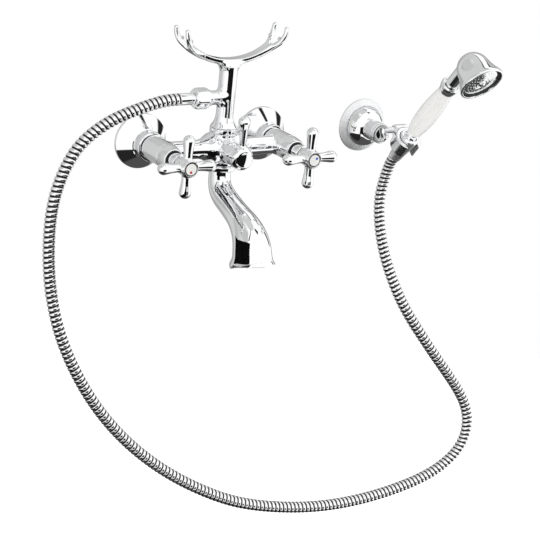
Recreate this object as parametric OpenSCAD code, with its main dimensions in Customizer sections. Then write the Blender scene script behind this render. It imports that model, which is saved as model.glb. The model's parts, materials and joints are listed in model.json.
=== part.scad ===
// Wall bath and shower mixer: two-handle bridge mixer with spout, diverter,
// riser with handset cradle, flexible hose, wall bracket and handset.
// Millimetres. +Z up, +Y into the wall, wall plane at Y = 0, origin midway
// between the two inlets. "d" below is the distance out from the wall.

/* [Inlets] */
// Distance between the two inlet centres
inlet_spacing = 150; // [148:1:153]
// Radius of the inlet tails that enter the wall fittings
tail_r = 10.48; // [10.2:0.02:10.6]
// Length of the inlet tails behind the wall plane
tail_len = 20; // [14:1:26]
// Outer radius of the round wall flanges
flange_r = 30; // [28:0.5:33]

/* [Body] */
// Distance of the bridge tube axis from the wall
bridge_d = 46; // [46:0.5:47]
// Radius of the bridge tube
bridge_r = 10; // [9.5:0.25:10.5]
// Radius of the two valve barrels
barrel_r = 13.5; // [13:0.25:14]

/* [Handles] */
// Distance of the cross handle arms from the wall
arm_d = 104; // [103.5:0.25:104.5]
// Reach of a cross handle arm from its axis
arm_reach = 33.5; // [31:0.5:35]
// Reach of the diverter lever from its axis
lever_reach = 45.6; // [42:0.2:47]

/* [Riser and cradle] */
// Height of the hose outlet above the bridge axis
outlet_z = 55.5; // [54:0.5:57]
// Half width of the cradle at its prong tips
cradle_half = 60; // [58:1:62]

/* [Bracket and handset] */
// Sideways distance of the wall bracket from the middle of the mixer
bracket_x = 212; // [208:1:216]
// Height of the wall bracket above the bridge axis
bracket_z = 2; // [1.5:0.25:2.5]
// Forward tilt of the handset in its clip
handset_tilt = 39; // [37:0.5:41]
// Turn of the handset about its own axis
handset_turn = 4; // [-10:1:10]

/* [Hose] */
// Outer radius of the metal hose
hose_r = 6.5; // [6:0.1:6.5]

/* [Hidden] */

$fn = 64;
ix = inlet_spacing / 2;
by = -bridge_d;
chrome = [0.86, 0.87, 0.89];
brassc = [0.78, 0.62, 0.32];
rubberc = [0.08, 0.08, 0.08];
ceramicc = [0.93, 0.93, 0.9];

// Handset clip centre, on the handset axis
clip_o = [bracket_x + 30, -48, -8.5];
// Tilt axis of the holder: along X through this Y and Z
tilt_y = -34;
tilt_z = 3.5;

// Hose route, from the ferrule at the riser outlet to the cone nut of the handset
route_main = [
  [-57, -46, 55.5], [-72, -46, 55], [-88, -46, 52], [-105, -46, 47], [-125, -46, 41], [-142, -46, 33],
  [-159, -46, 22], [-173, -46, 8], [-184, -47, -10], [-193, -48, -32], [-199, -50, -60], [-201, -54, -94],
  [-200, -58, -126], [-195, -63, -160], [-186, -68, -192], [-172, -73, -224], [-151, -78, -261],
  [-122, -83, -298], [-90, -88, -329], [-53, -93, -357], [-15, -98, -379], [25, -101, -398], [68, -103, -410],
  [111, -105, -418], [155, -106, -422], [198, -107, -421], [238, -107, -417], [274, -107, -410],
  [298, -106, -403], [317, -105, -394], [333, -104, -382], [343, -102, -367], [347, -99, -349], [345, -95, -331],
  [336, -90, -312], [320, -85, -290], [299, -78, -263], [280, -69, -236], [264, -60, -211], [254, -52, -190],
  [247, -43, -169]];
route_end = [
  [247, -43, -169], [241, -35, -147], [237, -28, -123], [236, -22, -101], [237, -18, -80], [240, -18, -62],
  [242, -21, -46], [242, -25.5, -36.5], [242, -31, -29.5]];

// Metal thickness of the hose
hose_wall = 1.1;

// Centre line of the spout in the middle plane: [Y, Z, outer radius]
spout_line = [
  [-46, -23, 11.6], [-46.3, -30, 11.8], [-47.6, -38, 12.3], [-52, -45.5, 12.8], [-61, -51, 13.2],
  [-73, -55.5, 13.2], [-84, -59.5, 13.5], [-94, -63.2, 14.3], [-103.5, -67.5, 15.8], [-112, -73, 17.5],
  [-118.6, -79.6, 19.1], [-123, -87, 20.3], [-125.4, -95, 20.8], [-126.3, -100, 21.4], [-126.7, -102.3, 23.4],
  [-127, -104.1, 24.2], [-127.4, -105.8, 23.6]];
spout_wall = 2.4;

// ---------- helpers ----------
module lathe(p) { rotate_extrude() polygon(p); }
// local z runs out from the wall, local x is X, local y is Z
module front(x = 0, z = 0) { translate([x, 0, z]) rotate([90, 0, 0]) children(); }
// local z runs to the left from the riser axis, at the hose outlet
module leftward() { translate([0, by, outlet_z]) rotate([0, -90, 0]) children(); }
// local z runs up the handset, local y points back, without the handset's own turn
module clip_frame() { translate(clip_o) rotate([handset_tilt, 0, 0]) children(); }
// the same with the handset's own turn
module handset_frame() { clip_frame() rotate([0, 0, handset_turn]) children(); }
// local z runs back from the middle of the spray face
module face_frame() { handset_frame() translate([0, -31.4, 150]) rotate([-90, 0, 0]) children(); }

function unit(v) = v / norm(v);
function tangent(p, i) = unit(p[min(i + 1, len(p) - 1)] - p[max(i - 1, 0)]);
function cat(a, b, c, d, t) = 0.5 * ((2 * b) + (c - a) * t + (2 * a - 5 * b + 4 * c - d) * t * t + (3 * b - a - 3 * c + d) * t * t * t);
function smooth(p, n) = [for (i = [0 : len(p) - 2]) for (k = [0 : n - 1])
    cat(p[max(i - 1, 0)], p[i], p[i + 1], p[min(i + 2, len(p) - 1)], k / n), p[len(p) - 1]];
function ring(c, t, up, r, n) = let (a = unit(cross(t, up)), b = cross(t, a))
    [for (k = [0 : n - 1]) c + r * (cos(360 * k / n) * a + sin(360 * k / n) * b)];
function flat(l) = [for (a = l) for (b = a) b];

// hollow bent tube along the points c with tangents t and an outer radius r at each point
module bent_shell(c, t, r, wall, n, up) {
  m = len(c);
  outer = [for (i = [0 : m - 1]) ring(c[i], t[i], up, r[i], n)];
  inner = [for (i = [0 : m - 1]) ring(c[i], t[i], up, r[i] - wall, n)];
  o = m * n;
  so = [for (i = [0 : m - 2]) for (k = [0 : n - 1]) [i * n + k, (i + 1) * n + k, (i + 1) * n + (k + 1) % n, i * n + (k + 1) % n]];
  si = [for (i = [0 : m - 2]) for (k = [0 : n - 1]) [o + i * n + k, o + i * n + (k + 1) % n, o + (i + 1) * n + (k + 1) % n, o + (i + 1) * n + k]];
  e0 = [for (k = [0 : n - 1]) [k, (k + 1) % n, o + (k + 1) % n, o + k]];
  e1 = [for (k = [0 : n - 1]) [(m - 1) * n + (k + 1) % n, (m - 1) * n + k, o + (m - 1) * n + k, o + (m - 1) * n + (k + 1) % n]];
  polyhedron(flat(concat(outer, inner)), concat(so, si, e0, e1));
}

// ---------- wall connections ----------
module wall_connector(x) {
  color(brassc) front(x) difference() {
    lathe([[0, -tail_len], [tail_r, -tail_len], [tail_r, 1], [12.2, 1], [12.2, 8], [13.15, 8], [13.15, 22], [0, 22]]);
    translate([0, 0, -40]) cylinder(r = 6.5, h = 80);
  }
}
module wall_connector_left() { wall_connector(-ix); }
module wall_connector_right() { wall_connector(ix); }

// conical flange that hides the connector, open at the back
module wall_flange(x) {
  color(chrome) front(x) lathe([[flange_r, 0], [flange_r, 3], [flange_r - 0.5, 4], [17.2, 16.3], [16.4, 16.7], [13.6, 16.7],
    [13.6, 14.6], [flange_r - 3, 3], [flange_r - 3, 0]]);
}
module wall_flange_left() { wall_flange(-ix); }
module wall_flange_right() { wall_flange(ix); }

// round union nuts, two pieces
module union_nuts() {
  color(chrome) for (s = [-1, 1]) front(s * ix)
    lathe([[13.3, 17], [15.4, 17], [16, 17.6], [16, 27.6], [15.2, 28.5], [11.4, 28.5], [11.4, 26.2], [13.3, 26.2]]);
}
module union_washers() {
  color([0.55, 0.25, 0.2]) for (s = [-1, 1]) front(s * ix) difference() {
    translate([0, 0, 22]) cylinder(r = 12.8, h = 2);
    translate([0, 0, 20]) cylinder(r = 7, h = 6);
  }
}

// ---------- mixer body ----------
module mixer_body() {
  color(chrome) difference() {
    union() {
      for (s = [-1, 1]) front(s * ix)
        lathe([[0, 24], [13, 24], [13, 26], [11, 26], [11, 30.4], [barrel_r - 0.4, 30.4], [barrel_r, 30.8], [barrel_r, 61.7], [barrel_r - 0.3, 62], [0, 62]]);
      translate([0, by, 0]) rotate([0, 90, 0])
        lathe([[0, -ix], [bridge_r, -ix], [bridge_r, -30], [10.6, -27], [11.7, -24], [13.4, -21], [15.6, -18], [17.1, -15.4], [17.5, -13],
          [17.5, 13], [17.1, 15.4], [15.6, 18], [13.4, 21], [11.7, 24], [10.6, 27], [bridge_r, 30], [bridge_r, ix], [0, ix]]);
      translate([0, by, -17.5]) cylinder(r = 14.2, h = 35);
      translate([0, by, -22]) cylinder(r = 12, h = 44);
      front() lathe([[0, bridge_d], [13, bridge_d], [13, 61.4], [12.4, 62], [0, 62]]);
    }
    for (s = [-1, 1]) front(s * ix) {
      translate([0, 0, 40]) cylinder(r = 10.2, h = 30);
      translate([0, 0, 20]) cylinder(r = 6.5, h = 25);
    }
    translate([-ix, by, 0]) rotate([0, 90, 0]) cylinder(r = 6.2, h = inlet_spacing);
    translate([0, by, -30]) cylinder(r = 7.5, h = 60);
    front() translate([0, 0, 36]) cylinder(r = 9, h = 40);
    // spot face that the diverter sleeve stands on
    front() translate([0, 0, 62]) cylinder(r = 13.4, h = 10);
  }
}

// ---------- valves ----------
// valve insert: shell with side windows, hexagon and spindle neck
module headwork(x) {
  color(brassc) front(x) difference() {
    union() {
      translate([0, 0, 41.6]) cylinder(r = 10.1, h = 21);
      translate([0, 0, 62.1]) cylinder(r = 10.8, h = 4, $fn = 6);
      translate([0, 0, 60]) cylinder(r = 6.4, h = 28);
    }
    translate([0, 0, 30]) cylinder(r = 8.3, h = 24);
    translate([0, 0, 30]) cylinder(r = 4, h = 70);
    translate([-20, -3.5, 47.5]) cube([40, 7, 5]);
  }
}
module headwork_left() { headwork(-ix); }
module headwork_right() { headwork(ix); }

module seat_seals() {
  color(rubberc) for (s = [-1, 1]) front(s * ix) difference() {
    translate([0, 0, 40]) cylinder(r = 8, h = 1.6);
    translate([0, 0, 39]) cylinder(r = 5, h = 4);
  }
}
module port_disc(x, d0, h) {
  color(ceramicc) front(x) difference() {
    translate([0, 0, d0]) cylinder(r = 8.1, h = h);
    translate([-3.6, 0, d0 - 1]) cylinder(r = 2.4, h = h + 2);
    translate([3.6, 0, d0 - 1]) cylinder(r = 2.4, h = h + 2);
  }
}
module fixed_discs() { for (s = [-1, 1]) port_disc(s * ix, 41.6, 2.4); }
module moving_disc_hot() { port_disc(-ix, 44.1, 2.4); }
module moving_disc_cold() { port_disc(ix, 44.1, 2.4); }

module spindle(x) {
  color(brassc) front(x) difference() {
    union() {
      translate([0, 0, 46.5]) cylinder(r = 8.1, h = 3.5);
      translate([0, 0, 48]) cylinder(r = 3.95, h = arm_d - 48);
    }
    translate([-20, -2.4, 45]) cube([40, 4.8, 3]);
    translate([0, 0, arm_d - 10]) cylinder(r = 2.2, h = 20);
  }
}
module spindle_hot() { spindle(-ix); }
module spindle_cold() { spindle(ix); }

// flared sleeve between barrel and handle
module bonnet(x) {
  color(chrome) front(x) lathe([[11.2, 62.2], [13.1, 62.2], [13.3, 62.5], [13.3, 64.5], [13.1, 67.5], [12.7, 70], [12.1, 72.6], [11.4, 75], [10.9, 76.1], [10.2, 76.4],
    [9.8, 76], [9.5, 73.6], [9.2, 73.2], [8.6, 73.2], [8.2, 73.8], [8.2, 76], [8.4, 79], [8.8, 83], [9.4, 87], [9.8, 90.4], [9.2, 91.2],
    [7, 91.2], [7, 68], [11.2, 66.4]]);
}
module bonnet_left() { bonnet(-ix); }
module bonnet_right() { bonnet(ix); }

// arm of a handle or lever: waisted at the root, ball at the tip, along local z
module bulb_arm(reach, r0, r1, rb, z0) {
  zc = reach - rb;
  lathe(concat([[0, z0], [r0, z0], [r0, z0 + 6], [r0 + (r1 - r0) * 0.25, z0 + 0.55 * (zc - z0)], [r1, z0 + 0.8 * (zc - z0)]],
    [for (k = [0 : 9]) let (a = -24 + k * 11.4) [rb * cos(a), zc + rb * sin(a)]], [[0, reach]]));
}
module cross_handle(x) {
  color(chrome) front(x) difference() {
    union() {
      lathe([[0, 92], [8.6, 92], [9.4, 92.8], [9.6, 97], [9.6, 110], [9, 112.2], [8.4, 113], [0, 113]]);
      for (k = [0 : 3]) translate([0, 0, arm_d]) rotate([0, 0, 90 * k]) rotate([0, 90, 0]) bulb_arm(arm_reach, 4.2, 5.6, 6.4, 3);
    }
    translate([0, 0, 80]) cylinder(r = 4, h = arm_d - 80 + 0.3);
    translate([0, 0, 90]) cylinder(r = 2.4, h = 30);
    translate([0, 0, arm_d + 2.5]) cylinder(r = 4.6, h = 20);
    translate([0, 0, 111]) cylinder(r = 7.4, h = 10);
  }
}
module cross_handle_hot() { cross_handle(-ix); }
module cross_handle_cold() { cross_handle(ix); }

module handle_screw(x) {
  color(brassc) front(x) difference() {
    union() {
      translate([0, 0, arm_d - 8]) cylinder(r = 2.15, h = 11);
      translate([0, 0, arm_d + 2.5]) cylinder(r = 4.2, h = 2.8);
    }
    translate([-10, -0.5, arm_d + 4.2]) cube([20, 1, 3]);
  }
}
module handle_screw_hot() { handle_screw(-ix); }
module handle_screw_cold() { handle_screw(ix); }

module index_disc(x) {
  color([0.96, 0.96, 0.95]) front(x) lathe([[0, 111], [7.3, 111], [7.3, 112.8], [6.9, 113.5], [5.8, 113.9], [4.6, 114], [0, 114]]);
}
module index_disc_hot() { index_disc(-ix); }
module index_disc_cold() { index_disc(ix); }
module index_dot_hot() { color([0.75, 0.05, 0.08]) front(-ix) translate([-0.6, -2.9, 114]) cylinder(r = 1.3, h = 0.25); }
module index_dot_cold() { color([0.08, 0.2, 0.7]) front(ix) translate([2.2, 2, 114]) cylinder(r = 1.3, h = 0.25); }

// ---------- diverter ----------
module diverter_cartridge() {
  color(brassc) front() difference() {
    union() {
      translate([0, 0, 36.2]) cylinder(r = 8.9, h = 26);
      translate([0, 0, 62.1]) cylinder(r = 10.6, h = 3.4, $fn = 6);
      translate([0, 0, 60]) cylinder(r = 6.4, h = 19);
    }
    translate([0, 0, 38.2]) cylinder(r = 6.6, h = 16);
    translate([0, 0, 40]) cylinder(r = 4, h = 50);
    translate([-20, -3.2, 42]) cube([40, 6.4, 8]);
    translate([-3.2, -20, 42]) cube([6.4, 40, 8]);
  }
}
module diverter_sleeve() {
  color(chrome) front() lathe([[11, 62.2], [12.8, 62.2], [13, 62.8], [13, 64], [12.4, 64.8], [12, 66], [12, 80.4], [11.4, 81.2], [7, 81.2], [7, 68], [11, 66]]);
}
// spindle with a plug that opens to the spout or to the riser
module diverter_spindle() {
  color(brassc) front() difference() {
    union() {
      translate([0, 0, 38.6]) cylinder(r = 6.5, h = 15);
      translate([0, 0, 50]) cylinder(r = 3.95, h = 38.5);
    }
    translate([-1.5, -8, 41.5]) cube([10, 16, 9]);
  }
}
module diverter_lever() {
  color(chrome) difference() {
    union() {
      front() lathe([[0, 82], [12, 82], [12.8, 82.6], [13, 83.4], [13, 89], [12.6, 90.4], [11.4, 91.4], [8, 92.1], [0, 92.4]]);
      translate([0, -86.5, 0]) bulb_arm(lever_reach, 3.7, 5, 6.7, 4);
    }
    front() translate([0, 0, 70]) cylinder(r = 4, h = 18.6);
    translate([0, -86.5, -20]) cylinder(r = 2, h = 19);
  }
}
module diverter_grub_screw() {
  color([0.5, 0.5, 0.52]) translate([0, -86.5, 0]) difference() {
    translate([0, 0, -12.4]) cylinder(r = 1.95, h = 8.3);
    translate([0, 0, -14]) cylinder(r = 1, h = 4, $fn = 6);
  }
}

// ---------- spout ----------
module spout() {
  p = smooth(spout_line, 2);
  c = [for (q = p) [0, q[0], q[1]]];
  color(chrome) bent_shell(c, [for (i = [0 : len(c) - 1]) i == 0 ? [0, 0, -1] : tangent(c, i)], [for (q = p) q[2]], spout_wall, 24, [1, 0, 0]);
}
module spout_collar() {
  color(chrome) translate([0, by, 0])
    lathe([[12.2, -17.6], [15, -17.6], [15.9, -18.6], [16, -20], [15.9, -21.6], [15, -22.8], [12.9, -23.6], [12.2, -23.6]]);
}
// flow straightener in the mouth of the spout
module spout_insert() {
  color([0.8, 0.8, 0.78]) translate([0, -124.6, -92]) rotate([-14, 0, 0]) {
    difference() {
      cylinder(r = 17.2, h = 5);
      translate([0, 0, -1]) cylinder(r = 15.2, h = 7);
    }
    intersection() {
      union() for (k = [-2 : 2]) { translate([k * 6 - 0.5, -20, 0.6]) cube([1, 40, 3.8]); translate([-20, k * 6 - 0.5, 0.6]) cube([40, 1, 3.8]); }
      cylinder(r = 15.6, h = 5);
    }
  }
}

// ---------- riser and cradle ----------
module riser_collar() {
  color(chrome) translate([0, by, 0])
    lathe([[12.2, 17.6], [14, 17.6], [14.7, 18.4], [14.8, 20], [14.7, 22], [14.2, 22.9], [12.2, 22.9]]);
}
module joint_gaskets() {
  color(rubberc) for (z = [22, -23]) translate([0, by, z]) difference() {
    cylinder(r = 11.4, h = 1);
    translate([0, 0, -1]) cylinder(r = 8, h = 3);
  }
}
// column with the hose outlet branch
module riser_column() {
  color(chrome) difference() {
    union() {
      translate([0, by, 0]) lathe([[0, 23], [14.3, 23], [14.4, 23.8], [13.4, 25.4], [11.9, 27.6], [10.7, 30.4], [9.8, 34], [9.4, 39], [9.5, 60], [9.8, 84], [0, 84]]);
      leftward() lathe([[0, 0], [7.5, 0], [7.5, 19.6], [8.4, 20.2], [8.6, 21], [8.6, 22.6], [8.2, 23.3], [8.2, 34.5], [0, 34.5]]);
    }
    translate([0, by, 10]) cylinder(r = 6.4, h = 54);
    leftward() cylinder(r = 4.5, h = 60);
  }
}
// curved rest with a two-prong fork at each end
module prong(s, q) {
  pts = [[46, 3.4, 107.6, 3.4], [54, 9.4, 115, 3.1], [cradle_half - 1.6, 12, 123, 2.8], [cradle_half, 12, 129.1, 2.5]];
  for (i = [0 : 2]) hull() for (j = [i, i + 1])
    translate([s * pts[j][0], by + q * pts[j][1], pts[j][2]]) sphere(r = pts[j][3], $fn = 20);
}
module cradle() {
  color(chrome) {
    hull() {
      translate([0, by, 84]) cylinder(r = 9.8, h = 0.6, $fn = 40);
      translate([0, by, 88.5]) scale([12.6, 9, 1]) cylinder(r = 1, h = 0.6, $fn = 40);
    }
    hull() {
      translate([0, by, 88.5]) scale([12.6, 9, 1]) cylinder(r = 1, h = 0.6, $fn = 40);
      translate([0, by, 93]) scale([20, 7, 2]) sphere(r = 1, $fn = 32);
    }
    translate([0, by, 181.5]) rotate([90, 0, 0]) rotate([0, 0, -90 - 37]) rotate_extrude(angle = 74, $fn = 180)
      polygon([[84.6, -5.6], [86, -6.4], [88.4, -6.4], [89.9, -5], [90.2, 0], [89.9, 5], [88.4, 6.4], [86, 6.4], [84.6, 5.6], [84.2, 0]]);
    for (s = [-1, 1]) for (q = [-1, 1]) prong(s, q);
  }
}
// soft rests in the forks, four pieces
module cradle_buffers() {
  color([0.9, 0.9, 0.88, 0.6]) for (s = [-1, 1]) for (q = [-1, 1])
    translate([s * (cradle_half - 6.4), by + q * 8.6, 117.6]) rotate([-q * 40, 0, 0]) cylinder(r = 1.9, h = 2.6, $fn = 24);
}

// ---------- hose and its fittings ----------
module hose_hex_nut() {
  color(chrome) leftward() difference() {
    intersection() {
      translate([0, 0, 23.8]) rotate([0, 0, 12]) cylinder(r = 12, h = 16.2, $fn = 6);
      lathe([[0, 23.8], [10.5, 23.8], [13, 26.5], [13, 36.2], [9.8, 40], [0, 40]]);
    }
    translate([0, 0, 20]) cylinder(r = 8.35, h = 18.2);
    translate([0, 0, 20]) cylinder(r = 5.7, h = 30);
  }
}
module hose_washer_mixer() {
  color(rubberc) leftward() difference() {
    translate([0, 0, 34.5]) cylinder(r = 8, h = 2);
    translate([0, 0, 30]) cylinder(r = 4.5, h = 10);
  }
}
module hose_ferrule_mixer() {
  color(chrome) leftward() lathe([[4, 36.5], [8, 36.5], [8, 38], [5.5, 38], [5.5, 40.3], [6.2, 40.5], [6.3, 41.4], [6.3, 56.2], [6, 57], [4, 57]]);
}
// thin metal tube along a route, with the given directions at its two ends
module hose(p, t0, t1) {
  m = len(p);
  color([0.75, 0.76, 0.78]) bent_shell(p, [for (i = [0 : m - 1]) i == 0 ? t0 : i == m - 1 ? t1 : tangent(p, i)],
    [for (q = p) hose_r], hose_wall, 10, [0, 1, 0]);
}
hose_join = unit(route_end[1] - route_main[len(route_main) - 2]);
module hose_main() { hose(route_main, [-1, 0, 0], hose_join); }
module hose_end() { hose(route_end, hose_join, [0, -sin(handset_tilt), cos(handset_tilt)]); }
module hose_ferrule_handset() {
  color(brassc) clip_frame() lathe([[4, -27], [5.6, -27], [5.6, -2], [8, -2], [8, 0], [4, 0]]);
}
module hose_cone_nut() {
  color(chrome) clip_frame() lathe([[5.8, -27], [6.9, -27], [7.3, -26.4], [8.1, -18], [9.2, -9], [10.2, 0], [11, 9], [11.2, 11], [10.8, 12.4], [10, 12.8], [8.4, 12.8],
    [8.4, -2.2], [5.8, -2.2]]);
}
module hose_washer_handset() {
  color(rubberc) clip_frame() difference() {
    cylinder(r = 8, h = 2);
    translate([0, 0, -1]) cylinder(r = 4.5, h = 4);
  }
}

// ---------- wall bracket ----------
module bracket_flange() {
  color(chrome) front(bracket_x, bracket_z) lathe([[30.5, 0], [30.5, 1.3], [30.2, 2], [29.6, 2.5], [24, 5.9], [23.4, 6.1], [22.9, 6],
    [22.5, 8.6], [21.6, 12], [19.8, 15.4], [17, 18.2], [14, 20.2], [11.4, 21.4], [8.4, 21.6],
    [8.4, 19.4], [13, 18.2], [16, 16.4], [18.4, 14], [20, 10.6], [20.6, 4.6], [25, 2.9], [27.4, 1.4], [28.2, 0]]);
}
// plate screwed to the wall, hidden by the flange
module bracket_wall_plate() {
  color([0.62, 0.63, 0.65]) front(bracket_x, bracket_z) difference() {
    union() {
      cylinder(r = 18.5, h = 5);
      cylinder(r = 8, h = 18);
    }
    translate([0, 0, 4]) cylinder(r = 6, h = 20);
    for (q = [-1, 1]) translate([0, q * 13.5, -1]) cylinder(r = 2.3, h = 10);
  }
}
// stem with a side notch that lets the holder arm through
module bracket_stem() {
  color(chrome) difference() {
    front(bracket_x, bracket_z) lathe([[0, 6], [5.95, 6], [5.95, 21.7], [11, 21.7], [11.5, 22.3], [11.5, 36], [10.6, 36.3], [10.6, 37.3], [11.5, 37.6], [11.5, 39.6], [10.9, 40.7], [10, 41], [0, 41]]);
    front(bracket_x, bracket_z) translate([0, 0, 37.7]) cylinder(r = 7.5, h = 10);
    translate([bracket_x - 7, tilt_y, tilt_z]) rotate([0, 90, 0]) cylinder(r = 3.55, h = 40);
    translate([bracket_x, tilt_y - 10, tilt_z - 4]) cube([20, 10, 8]);
  }
}
module bracket_lock_screw() {
  color(chrome) front(bracket_x, bracket_z) difference() {
    translate([0, 0, 37.8]) cylinder(r = 7.3, h = 2.2);
    translate([-1, -10, 38.9]) cube([2, 20, 3]);
    translate([4.4, -4, 36]) cube([10, 10, 8]);
  }
}
// pin that carries the clip and turns in the stem
module bracket_arm() {
  color(chrome) translate([0, tilt_y, tilt_z]) rotate([0, 90, 0])
    lathe([[0, bracket_x - 6.6], [3.1, bracket_x - 6.6], [3.5, bracket_x - 6.2], [3.5, bracket_x + 27], [0, bracket_x + 27]]);
}
// open clip that the cone nut drops into
module holder_clip() {
  color(chrome) difference() {
    union() {
      clip_frame() lathe([[0, -9], [14.4, -9], [15.4, -8], [15.6, 0], [15.6, 8], [14.8, 9], [0, 9]]);
      translate([bracket_x + 22, tilt_y, tilt_z]) rotate([0, 90, 0]) cylinder(r = 6, h = 16);
    }
    clip_frame() {
      lathe([[0, -20], [9.6, -20], [9.6, -9], [11.5, 9], [11.5, 30], [0, 30]]);
      translate([-7.4, -30, -20]) cube([14.8, 30, 40]);
    }
    translate([bracket_x, tilt_y, tilt_z]) rotate([0, 90, 0]) cylinder(r = 3.5, h = 27);
  }
}

// ---------- handset ----------
// threaded tail with the water tube that runs up inside the handle
module handset_tail() {
  color(chrome) handset_frame() difference() {
    lathe([[0, 2], [8.3, 2], [8.3, 11.4], [7.4, 12.4], [6.9, 14], [6.9, 17.6], [7.4, 19.8], [7.6, 21], [5.1, 21], [5.1, 108], [0, 108]]);
    translate([0, 0, -5]) cylinder(r = 3.6, h = 130);
  }
}
module handset_handle() {
  color([0.97, 0.97, 0.95]) handset_frame() lathe([[7.2, 21], [7.8, 21.4], [8.6, 24.6], [9.6, 30], [10.6, 38], [11.3, 47], [11.5, 56], [11.3, 65], [10.7, 75], [9.8, 85], [8.9, 93], [8.4, 97], [8, 97.5],
    [5.3, 97.5], [5.3, 21]]);
}
module handset_collar() {
  color(chrome) handset_frame() lathe([[5.3, 97.5], [8.3, 97.5], [8.9, 98.4], [9.4, 100.6], [10.3, 103.6], [10.9, 106], [11, 107.6], [10.7, 109.2], [9.8, 110.2], [8.8, 110.2],
    [7.9, 108.6], [5.3, 108.2]]);
}
// bell-shaped head with its neck
module handset_head() {
  color(chrome) difference() {
    union() {
      face_frame() lathe([[0, 0.2], [24.6, 0.2], [25.2, 1], [25.3, 2.8], [24.6, 4.4], [22.7, 8.6], [20.6, 13.6], [19, 19], [17.8, 25], [16.2, 29.4], [13.4, 33.6], [9.6, 36.8], [5, 38.8], [0, 39.5]]);
      handset_frame() translate([0, 0, 108.9]) cylinder(r = 7, h = 33);
    }
    face_frame() lathe([[0, -1], [22.8, -1], [22.8, 5.2], [20.4, 8.8], [18.2, 14], [16.6, 19.4], [15.2, 25], [13.6, 28.8], [11, 32], [7.6, 34.6], [0, 36.6]]);
    handset_frame() translate([0, 0, 100]) cylinder(r = 4.4, h = 40);
  }
}
module handset_face_seal() {
  color(rubberc) face_frame() difference() {
    translate([0, 0, 2.6]) cylinder(r = 22.5, h = 2.4);
    translate([0, 0, 0]) cylinder(r = 20.1, h = 8);
  }
}
// spray face with rings of jets
module handset_spray_plate() {
  color(chrome) face_frame() difference() {
    lathe([[0, 0.6], [6.2, 0.6], [6.8, 2.2], [10, 3.2], [17, 2.6], [19.8, 1.6], [19.8, 5], [0, 6.4]]);
    for (r = [10, 13.4, 16.8]) for (k = [0 : 1 : round(r * 1.4) - 1]) rotate([0, 0, k * 360 / round(r * 1.4)]) translate([r, 0, -2]) cylinder(r = 0.7, h = 12, $fn = 16);
    translate([0, 0, -2]) cylinder(r = 1.9, h = 12);
  }
}
module handset_centre_screw() {
  color(chrome) face_frame() lathe([[0, -1.4], [2, -1.2], [3.4, -0.4], [3.8, 0.5], [1.85, 0.5], [1.85, 12], [0, 12]]);
}

wall_connector_left();
wall_connector_right();
wall_flange_left();
wall_flange_right();
union_nuts();
union_washers();
mixer_body();
headwork_left();
headwork_right();
seat_seals();
fixed_discs();
moving_disc_hot();
moving_disc_cold();
spindle_hot();
spindle_cold();
bonnet_left();
bonnet_right();
cross_handle_hot();
cross_handle_cold();
handle_screw_hot();
handle_screw_cold();
index_disc_hot();
index_disc_cold();
index_dot_hot();
index_dot_cold();
diverter_cartridge();
diverter_sleeve();
diverter_spindle();
diverter_lever();
diverter_grub_screw();
spout();
spout_collar();
spout_insert();
riser_collar();
riser_column();
joint_gaskets();
cradle();
cradle_buffers();
hose_hex_nut();
hose_washer_mixer();
hose_ferrule_mixer();
hose_main();
hose_end();
hose_ferrule_handset();
hose_cone_nut();
hose_washer_handset();
bracket_flange();
bracket_wall_plate();
bracket_stem();
bracket_lock_screw();
bracket_arm();
holder_clip();
handset_tail();
handset_handle();
handset_collar();
handset_head();
handset_face_seal();
handset_spray_plate();
handset_centre_screw();
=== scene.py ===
import bpy
import json
import math
import numpy as np
from mathutils import Matrix, Vector


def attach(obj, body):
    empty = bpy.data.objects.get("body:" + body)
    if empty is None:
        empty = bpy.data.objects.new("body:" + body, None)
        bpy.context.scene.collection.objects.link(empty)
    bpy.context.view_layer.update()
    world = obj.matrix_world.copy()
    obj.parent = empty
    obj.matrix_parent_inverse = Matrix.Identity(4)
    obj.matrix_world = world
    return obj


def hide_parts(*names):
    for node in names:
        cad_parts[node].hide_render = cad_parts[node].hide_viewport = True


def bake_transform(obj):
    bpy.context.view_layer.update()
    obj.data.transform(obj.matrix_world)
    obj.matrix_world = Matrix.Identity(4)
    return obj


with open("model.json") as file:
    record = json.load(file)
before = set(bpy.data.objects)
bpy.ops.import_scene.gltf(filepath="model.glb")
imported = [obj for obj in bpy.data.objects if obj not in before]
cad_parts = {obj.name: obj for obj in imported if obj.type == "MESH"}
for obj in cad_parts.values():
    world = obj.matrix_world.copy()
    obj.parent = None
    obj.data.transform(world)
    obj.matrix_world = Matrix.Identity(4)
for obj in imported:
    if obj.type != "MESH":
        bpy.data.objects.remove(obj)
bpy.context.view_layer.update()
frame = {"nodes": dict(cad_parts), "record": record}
NODES = frame["nodes"]
scene = bpy.context.scene
scene.view_settings.view_transform = "Standard"
scene.view_settings.look = "None"


# ---------------------------------------------------------------- camera
def make_camera():
    a, e, r = 0.5851, 0.3262, 0.0991
    d = np.array([math.sin(a) * math.cos(e), math.cos(a) * math.cos(e), -math.sin(e)])
    right = np.array([math.cos(a), -math.sin(a), 0.0])
    up = np.cross(right, d)
    cx = math.cos(r) * right + math.sin(r) * up
    cy = -math.sin(r) * right + math.cos(r) * up
    cam = bpy.data.cameras.new("camera")
    cam.sensor_width = 36.0
    cam.lens = 36.0 * 1815.45 / 540.0
    cam.clip_start, cam.clip_end = 0.05, 60.0
    ob = bpy.data.objects.new("camera", cam)
    loc = (-0.98099, -1.64268, 0.50198)
    m = Matrix.Identity(4)
    for i in range(3):
        m[i][0], m[i][1], m[i][2], m[i][3] = cx[i], cy[i], -d[i], loc[i]
    ob.matrix_world = m
    scene.collection.objects.link(ob)
    scene.camera = ob


make_camera()


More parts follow.
